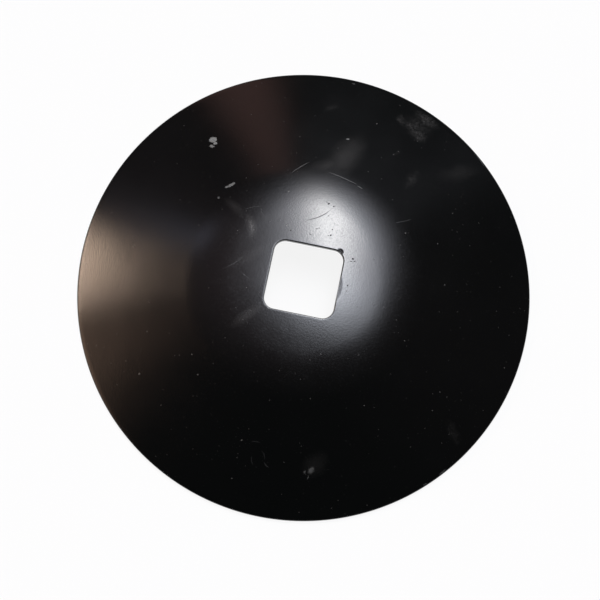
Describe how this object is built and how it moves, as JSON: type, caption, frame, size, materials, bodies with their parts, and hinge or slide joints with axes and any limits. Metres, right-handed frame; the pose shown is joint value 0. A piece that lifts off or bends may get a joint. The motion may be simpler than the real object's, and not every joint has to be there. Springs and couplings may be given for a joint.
{
  "type": "rotary tiller flange",
  "caption": "Shallow dished round steel disc with a rounded square shaft hole through its gently crowned centre, black painted.",
  "frame": {"origin": "centre of the plane that the rim rests on, under the middle of the square hole", "axes": "+Z along the axis of the disc, up through the dome and the square hole; the flats of the hole face X and Y"},
  "size_m": [0.28, 0.28, 0.0376],
  "materials": {
    "black_paint": "satin black sprayed enamel on pressed steel sheet, lightly scratched and dusty"
  },
  "bodies": {
    "root": {"dished_flange_disc": "black_paint"}
  },
  "joints": []
}
